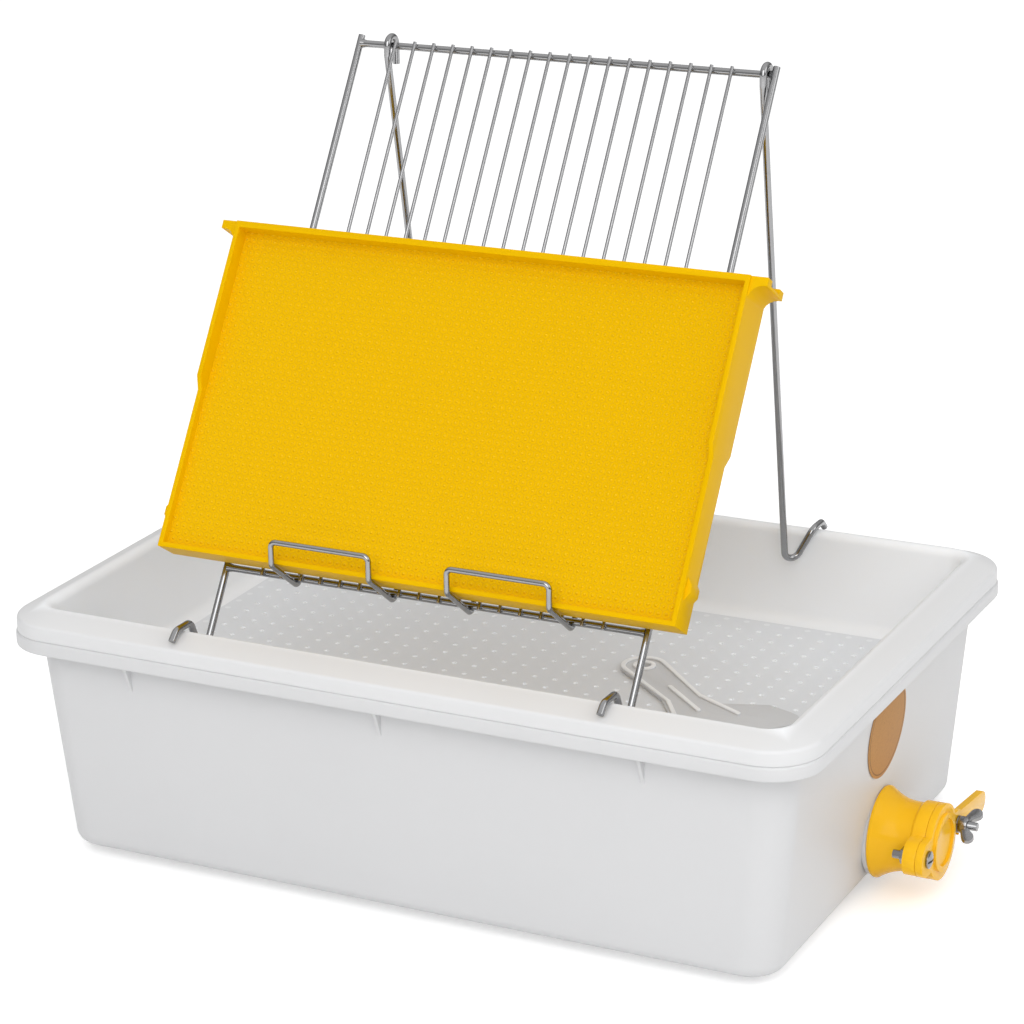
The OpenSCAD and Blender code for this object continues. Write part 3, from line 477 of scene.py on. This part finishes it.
def bent_wire(name, path, radius, bend_r, material):
    """A wire that follows its route, turned on a bend radius, with cut ends."""
    sizes = {"Wire radius": radius, "Bend radius": bend_r}
    maths, size = grower(name + "_bender", sizes)
    line = maths.node("GeometryNodeMeshToCurve", Mesh=size["Geometry"])
    line = maths.node("GeometryNodeFilletCurve", {"mode": "POLY"}, Curve=line, Count=14,
                      Radius=size["Bend radius"], Limit_Radius=True)
    section = maths.node("GeometryNodeCurvePrimitiveCircle", Resolution=20, Radius=size["Wire radius"])
    rod = maths.node("GeometryNodeCurveToMesh", Curve=line, Profile_Curve=section, Fill_Caps=True)
    return grown(name, maths, rod, material, sizes, route(path), 50)


def on_slope(x, away, far):
    """A point of the leaning rack: across it, out from it and up along it."""
    return Vector((x, 0, 0)) + ledge + away * off + far * up


wire_steel = steel("bright_drawn_wire", (0.35, 0.35, 0.355), 0.13)
dip_z = ridge_z - rod_dip
rack_parts = []
for name, node, x in (("rack_rod_left", "rack_side_rod_left", -rack_half),
                      ("rack_rod_right", "rack_side_rod_right", rack_half)):
    dip = on_slope(x, 0, (dip_z - ledge.z) / math.sin(slope))
    rod = bent_wire(name, [on_slope(x, 0, rack_long + rod_over), (x, max(dip.y, -arm_y(dip_z)), dip_z),
                           (x, -arm_y(dip_z), hook_z), (x, -shoulder_y, hook_z), (x, -tip_y, tip_z)],
                    rod_r, rod_bend, wire_steel)
    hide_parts(node)
    rack_parts.append(rod)

# Cross rods with a swelling of weld where each meets the side rods
weld_swell, weld_run, weld_share = 0.0007, 0.003, 0.55
cross_end = rack_half - rod_r * weld_share
weld_steps = [cross_end - step for step in (0.0012, 0.0024, 0.004)]
cross_places = sorted([(-1 + k / 12) * cross_end for k in range(25)] + weld_steps + [-x for x in weld_steps])
for name, node, far in (("rack_cross_top", "rack_top_rod", rack_long),
                        ("rack_cross_ledge", "rack_ledge_rod", 0.0)):
    axis = on_slope(0, 0, far)
    rings = []
    for x in cross_places:
        r = rod_r + weld_swell * max(0.0, 1 - (rack_half - rod_r - abs(x)) / weld_run)
        turns = [math.tau * j / 20 for j in range(20)]
        rings.append([(x, axis.y + r * math.cos(a), axis.z + r * math.sin(a)) for a in turns])
    rod = bmesh.new()
    loft(rod, rings)
    rack_parts.append(piece(name, rod, wire_steel, 50))
    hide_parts(node)

# The rest bars stand in a row in front of the cross rods, each with a weld at top and bottom
bar_spaces = 21
bars = {"Bars": 18, "Pitch": 2 * rack_half / bar_spaces, "Length": rack_long + 2 * rod_r, "Bar radius": bar_r,
        "Weld radius": 0.0017, "Reach": rack_long}
bead_back, bead_scale = 0.0011, (1.0, 0.75, 0.8)
maths, size = grower("rest bars", bars)
half_row = (size["Bars"] - 1) * size["Pitch"] * 0.5
row = maths.node("GeometryNodeMeshLine", Count=size["Bars"], Start_Location=shift(maths, X=0 - half_row),
                 Offset=shift(maths, X=size["Pitch"]))
stem = maths.node("GeometryNodeMeshCylinder", Vertices=16, Radius=size["Bar radius"], Depth=size["Length"])
stem = maths.node("GeometryNodeTransform", Geometry=stem, Translation=shift(maths, Z=size["Reach"] * 0.5))
bead = maths.node("GeometryNodeMeshUVSphere", Segments=10, Rings=6, Radius=size["Weld radius"])
bead = maths.node("GeometryNodeTransform", Geometry=bead, Translation=(0, bead_back, 0), Scale=bead_scale)
top_bead = maths.node("GeometryNodeTransform", Geometry=bead, Translation=shift(maths, Z=size["Reach"]))
all_bars = joined(maths, *[maths.node("GeometryNodeInstanceOnPoints", Points=row, Instance=part)
                           for part in (stem, bead, top_bead)])
all_bars = maths.node("GeometryNodeTransform", Geometry=all_bars, Rotation=(slope - math.pi / 2, 0, 0),
                      Translation=tuple(ledge + (rod_r + bar_r) * off))
rack_parts.append(grown("rack_rest_wires", maths, all_bars, wire_steel, bars, crease=50))
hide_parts("rack_rest_bars")

# The clips: up behind the ledge rod, under it, out, up, across and back
clip_low, clip_up = -(rod_r + clip_r), Vector((0, 0, 0.017))
clip_x, clip_half, clip_out, clip_lift, clip_tip, clip_bend = 0.0665, 0.03725, 0.0375, 0.0035, 0.004, 0.004
tip, heel = on_slope(0, clip_low, clip_tip), on_slope(0, clip_low, clip_low)
corner = on_slope(0, clip_out, clip_low + clip_lift)
for name, node, x in (("frame_clip_wire_left", "frame_clip_left", -clip_x),
                      ("frame_clip_wire_right", "frame_clip_right", clip_x)):
    left, right = Vector((x - clip_half, 0, 0)), Vector((x + clip_half, 0, 0))
    clip = bent_wire(name, [left + tip, left + heel, left + corner, left + corner + clip_up,
                            right + corner + clip_up, right + corner, right + heel, right + tip],
                     clip_r, clip_bend, wire_steel)
    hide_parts(node)
    rack_parts.append(clip)
for part in rack_parts:
    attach(part, "rack")


# Each rear leg is one wire with an open eye over the top rod and a hook over the tray's back rim.
# It swings on the top rod, so that the rack folds flat once it is lifted off.
top = on_slope(0, 0, rack_long)
eye_r, eye_top, eye_tail, eye_bend = 0.0064, 0.0063, 0.014, 0.006336
foot_aside, foot_in, foot_dip, tip_aside = 0.141, 0.039, 0.032, 0.158
for name, node, body, side, eye_x in (("rack_leg_left", "rear_leg_left", "left_leg", -1, 0.1335),
                                      ("rack_leg_right", "rear_leg_right", "right_leg", 1, 0.153)):
    x, foot_x, tip_x = side * eye_x, side * foot_aside, side * tip_aside
    leg = bent_wire(name, [(x, top.y + eye_r, top.z - eye_tail), (x, top.y + eye_r, top.z + eye_top),
                           (x, top.y - eye_r, top.z + eye_top), (x, top.y - eye_r, top.z - eye_r),
                           (foot_x, rim_y - foot_in, ridge_z - foot_dip), (tip_x, arm_y(hook_z), hook_z),
                           (tip_x, shoulder_y, hook_z), (tip_x, tip_y, tip_z)],
                    rod_r, eye_bend, wire_steel)
    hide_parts(node)
    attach(leg, body)


# The comb frame is moulded in one piece from yellow plastic: thin bars round a sheet of shallow cells.
# It stands on the clips and leans on the rest bars.
def dressed(name, node, material, width, crease=32):
    """A copy of a solid with its edges softened, as moulding leaves them."""
    shape = bmesh.new()
    shape.from_mesh(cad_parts[node].data)
    bmesh.ops.remove_doubles(shape, verts=shape.verts, dist=2e-6)
    bmesh.ops.dissolve_limit(shape, angle_limit=math.radians(0.5), verts=shape.verts, edges=shape.edges)
    made = piece(name, shape, material, crease)
    soft = made.modifiers.new("soft edges", "BEVEL")
    soft.width, soft.segments = width, 3
    soft.limit_method, soft.angle_limit = "ANGLE", math.radians(crease)
    settle(made, crease)
    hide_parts(node)
    return made


comb_yellow = plastic("comb_yellow_plastic", (0.83, 0.485, 0.0), (0.80, 0.46, 0.0), 0.36, shine=0.04)
comb = dressed("comb_frame_bars", "comb_frame", comb_yellow, 0.001, 40)

# The cells: a close hexagonal field of low rims, each round a small raised dot, on both faces of the sheet
cells = {"Pitch": 0.0056, "Along": 68, "Rows": 48, "Rim": 0.0002, "Dot radius": 0.0009, "Dot height": 0.0009}
flat, dot_r, dot_h = cells["Pitch"] / 2, cells["Dot radius"], cells["Dot height"]
row_share = math.cos(math.pi / 6)
cell_steps = ((flat / row_share, cells["Rim"]), (flat * 0.9, 0.0), (dot_r * 1.4, 0.0), (dot_r, dot_h * 0.6),
              (dot_r * 0.5, dot_h))
cell = bmesh.new()
rings = []
for r, z in cell_steps:
    turns = [math.pi / 6 + math.pi / 3 * j for j in range(6)]
    rings.append([cell.verts.new((r * math.cos(a), r * math.sin(a), z)) for a in turns])
for low, high in zip(rings, rings[1:]):
    for j in range(6):
        cell.faces.new((low[j], low[(j + 1) % 6], high[(j + 1) % 6], high[j]))
cell.faces.new(rings[-1])


def painted_dot_light(maths, place, colour):
    """Painted light and shade: the dots are painted paler and the grooves round them darker, as if the dots
    caught more light.
    """
    lift = maths.node("ShaderNodeAttribute", {"attribute_name": "lift"}, out=2)
    painted_dot_highlight = blend_of(maths, 0.5, colour, (0.92, 0.60, 0.01, 1))
    return blend_of(maths, lift, (0.735, 0.41, 0.0, 1), painted_dot_highlight)


# The cell plastic carries painted highlights on its dots and painted shade in its grooves
cell_yellow = plastic("comb_cell_plastic", (0.77, 0.445, 0.0), (0.74, 0.42, 0.0), 0.34, shine=0.1,
                      painted_light=painted_dot_light)
one_cell = piece("one_cell", cell, cell_yellow, 60)
# Each point's share of painted light: full at the dot tops, a little on the cell rims, none in the grooves
painted_rim_share = 0.15
lift = one_cell.data.attributes.new("lift", "FLOAT", "POINT")
for vert in one_cell.data.vertices:
    painted_rim_part = painted_rim_share * vert.co.z / cells["Rim"] if vert.co.xy.length > flat * 0.95 else 0.0
    lift.data[vert.index].value = max(painted_rim_part, vert.co.z / dot_h)
if one_cell.data.polygons[-1].normal.z < 0:
    one_cell.data.flip_normals()
comb_gap, comb_half, comb_aside, sheet_half, sheet_up = 0.0054, 0.0175, -0.003, 0.0055, 0.11824
cell_sink = 0.0001
comb_mid = on_slope(comb_aside, comb_gap + comb_half, 0.0)
for name, facing in (("comb_cells_front", 1), ("comb_cells_back", -1)):
    maths, size = grower(name + "_field", cells)
    held = maths.node("GeometryNodeObjectInfo", Object=one_cell, out=4)
    line = maths.node("GeometryNodeMeshLine", Count=size["Along"], Offset=shift(maths, X=size["Pitch"]))
    rows = maths.node("GeometryNodeMeshLine", Count=size["Rows"] * 0.5,
                      Offset=shift(maths, Y=size["Pitch"] * (2 * row_share)))
    between = shift(maths, X=size["Pitch"] * 0.5, Y=size["Pitch"] * row_share)
    pair = joined(maths, line, maths.node("GeometryNodeTransform", Geometry=line, Translation=between))
    field = maths.node("GeometryNodeInstanceOnPoints", Points=rows, Instance=pair)
    field = maths.node("GeometryNodeRealizeInstances", Geometry=field)
    middle = shift(maths, X=size["Pitch"] * (size["Along"] - 0.5) * -0.5,
                   Y=size["Pitch"] * (size["Rows"] - 1) * (-0.5 * row_share))
    field = maths.node("GeometryNodeTransform", Geometry=field, Translation=middle)
    field = maths.node("GeometryNodeInstanceOnPoints", Points=field, Instance=held)
    spot = comb_mid + sheet_up * up + facing * (sheet_half - cell_sink) * off
    turn = Matrix((Vector((facing, 0, 0)), up, facing * off)).transposed().to_euler()
    field = maths.node("GeometryNodeTransform", Geometry=field, Translation=tuple(spot), Rotation=tuple(turn))
    layer = grown(name, maths, field, cell_yellow, cells, crease=60)
    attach(layer, "comb")
bpy.data.objects.remove(one_cell)
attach(comb, "comb")


# The honey gate is cast in glossy amber plastic, drawn against the wall by a lock nut on its neck.
# Black rubber rings seal it to the tub and to its lid, which swings on one screw and is held by a wing nut.
amber = plastic("gate_amber_plastic", (0.97, 0.548, 0.022), (0.94, 0.51, 0.016), 0.12, shine=0.1)
maths, place, done = surface("seal_rubber", Base_Color=(0.02, 0.02, 0.021, 1))
rubber = done(noise(maths, place, scale=1200.0), depth=0.00005,
              rough=0.75 + 0.2 * (noise(maths, place, scale=300.0) - 0.5))
zinc = steel("zinc_plated_steel", (0.31, 0.31, 0.315), 0.16)
for name, node, material, slot_name, width, body in (
        ("gate_casting", "gate_body", amber, "gate_plastic", 0.0011, "tank"),
        ("gate_back_nut", "gate_lock_nut", amber, "gate_plastic", 0.0006, "tank"),
        ("gate_wall_ring", "gate_gasket", rubber, "black_rubber", 0.0003, "tank"),
        ("gate_lid_ring", "gate_lid_seal", rubber, "black_rubber", 0.0003, "tank"),
        ("gate_hinge_screw", "gate_pivot_screw", zinc, "fastener_steel", 0.0003, "tank"),
        ("gate_hinge_nut", "gate_pivot_nut", zinc, "fastener_steel", 0.0004, "tank"),
        ("gate_lock_bolt", "gate_clamp_bolt", zinc, "fastener_steel", 0.0003, "tank"),
        ("gate_lock_washer", "gate_clamp_washer", zinc, "fastener_steel", 0.0002, "tank"),
        ("gate_swing_lid", "gate_lid", amber, "gate_plastic", 0.0009, "lid"),
        ("gate_wing_grip", "gate_wing_nut", zinc, "fastener_steel", 0.0006, "wing_nut")):
    made = dressed(name, node, material, width)
    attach(made, body)


# The label is a thin disc of brown kraft paper, flecked with fibre and printed with a plain ring.
# It is stuck on the end wall over the gate.
maths, place, done = surface("kraft_paper")
label_mid = Vector([(a + b) / 2 for a, b in zip(*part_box("round_label"))])
ring_r, ring_half = 0.0325, 0.0005
moved = maths.node("ShaderNodeMapping", Vector=place, Location=tuple(-label_mid))
reach = maths.node("ShaderNodeVectorMath", {"operation": "LENGTH"}, out=1, i0=moved)
ring_band = maths.work("COMPARE", reach, ring_r, ring_half)
pressed = maths.node("ShaderNodeMapping", Vector=place, Scale=(1.0, 1.0, 3.0))
fibre = noise(maths, pressed, scale=320.0, detail=5.0, rough=0.7)
flecks = greys(maths, noise(maths, place, scale=520.0, detail=2.0), (0.62, 0), (0.7, 1))
paper = blend_of(maths, fibre, (0.42, 0.20, 0.062, 1), (0.60, 0.32, 0.105, 1))
paper = blend_of(maths, 0.25 * flecks, paper, (0.25, 0.11, 0.04, 1))
kraft = done(fibre, depth=0.00006, colour=blend_of(maths, 0.7 * ring_band, paper, (0.17, 0.075, 0.03, 1)),
             rough=0.7 + 0.2 * (fibre - 0.5))
label = dressed("kraft_round_label", "round_label", kraft, 0.0001)
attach(label, "tank")


# The scraper is a thin flared blade of greyish plastic, moulded with a bordered grip and stiffening ribs.
# It is loose, and lies in the tray.
scraper_top, rib_foot, rib_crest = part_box("scraper")[1][2], 0.0012, 0.0006


def painted_rib_highlight(maths, place, colour):
    """Painted highlight: the raised ribs are painted paler than the flat of the blade, where light catches
    their tops.
    """
    share = maths.node("ShaderNodeMapRange", Value=along(maths, 2, place), From_Min=scraper_top - rib_foot,
                       From_Max=scraper_top - rib_crest)
    return blend_of(maths, share, colour, (0.93, 0.935, 0.94, 1))


# The scraper grey carries a painted highlight on its rib tops
scraper_grey = plastic("scraper_grey_plastic", (0.66, 0.665, 0.675), (0.62, 0.625, 0.635), 0.34,
                       painted_light=painted_rib_highlight)
scraper = dressed("hand_scraper", "scraper", scraper_grey, 0.0005)
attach(scraper, "scraper_body")


# The studio is a plain floor that reads as white under a room that is brightest overhead.
# Two large soft lamps stand in front and at the right, and are kept low so that pale plastic keeps its tone.
floor_reach, floor_drop = 60.0, 0.0004
floor_mesh = bmesh.new()
bmesh.ops.create_grid(floor_mesh, x_segments=1, y_segments=1, size=floor_reach)
maths, place, done = surface("studio_floor", Base_Color=(0.86, 0.86, 0.86, 1), Roughness=0.9,
                             Emission_Strength=1.0)
by_camera, by_gloss, by_glass = [maths.node("ShaderNodeLightPath", out=ray) for ray in (0, 3, 6)]
studio_white = done(noise(maths, place, scale=40.0), depth=0.0001, strength=0.02,
                    glow=0.42 * (by_camera + by_gloss + by_glass))
ground = piece("studio_ground", floor_mesh, studio_white)
ground.location.z = -floor_drop
world = bpy.data.worlds.new("studio")
bpy.context.scene.world = world
world.use_nodes = True
room = world.node_tree.nodes["Background"]
maths = Tone(world.node_tree)
facing_up = along(maths, 2, maths.node("ShaderNodeTexCoord", out=0))
shade = greys(maths, facing_up, (0.0, 0.22), (0.3, 0.4), (0.85, 1))
world.node_tree.links.new(shade.socket, room.inputs["Color"])
room.inputs["Strength"].default_value = 0.92
for name, at, aim, across, power in (("front_softbox", (0.9, -2.5, 1.8), (0, 0, 0.15), 2.4, 44),
                                     ("side_softbox", (2.6, 0.2, 1.7), (0.1, 0, 0.15), 1.8, 13)):
    lamp = bpy.data.lights.new(name, "AREA")
    lamp.size, lamp.energy = across, power
    hung = bpy.data.objects.new(name, lamp)
    hung.location = at
    hung.rotation_euler = (Vector(aim) - Vector(at)).to_track_quat("-Z", "Y").to_euler()
    bpy.context.scene.collection.objects.link(hung)

# The camera stands in front, to the right and a little above, with a long lens
turn, height, roll = math.radians(26.72), math.radians(18.963), math.radians(-1.103)
far, aside, high, lift_z = 2.37064, -0.00365, 0.21682, 0.006
back = Vector((math.sin(turn) * math.cos(height), -math.cos(turn) * math.cos(height), math.sin(height)))
level = Vector((math.cos(turn), math.sin(turn), 0))
upward = back.cross(level)
right = math.cos(roll) * level + math.sin(roll) * upward
above = math.cos(roll) * upward - math.sin(roll) * level
stand = far * back + aside * right + high * above + Vector((0, 0, lift_z))
lens = bpy.data.cameras.new("photo_camera")
lens.lens, lens.sensor_width, lens.clip_end = 115.54, 36.0, 200.0
camera = bpy.data.objects.new("photo_camera", lens)
camera.matrix_world = Matrix.Translation(stand) @ Matrix((right, above, back)).transposed().to_4x4()
bpy.context.scene.collection.objects.link(camera)
bpy.context.scene.camera = camera
bpy.context.scene.view_settings.view_transform = "Standard"
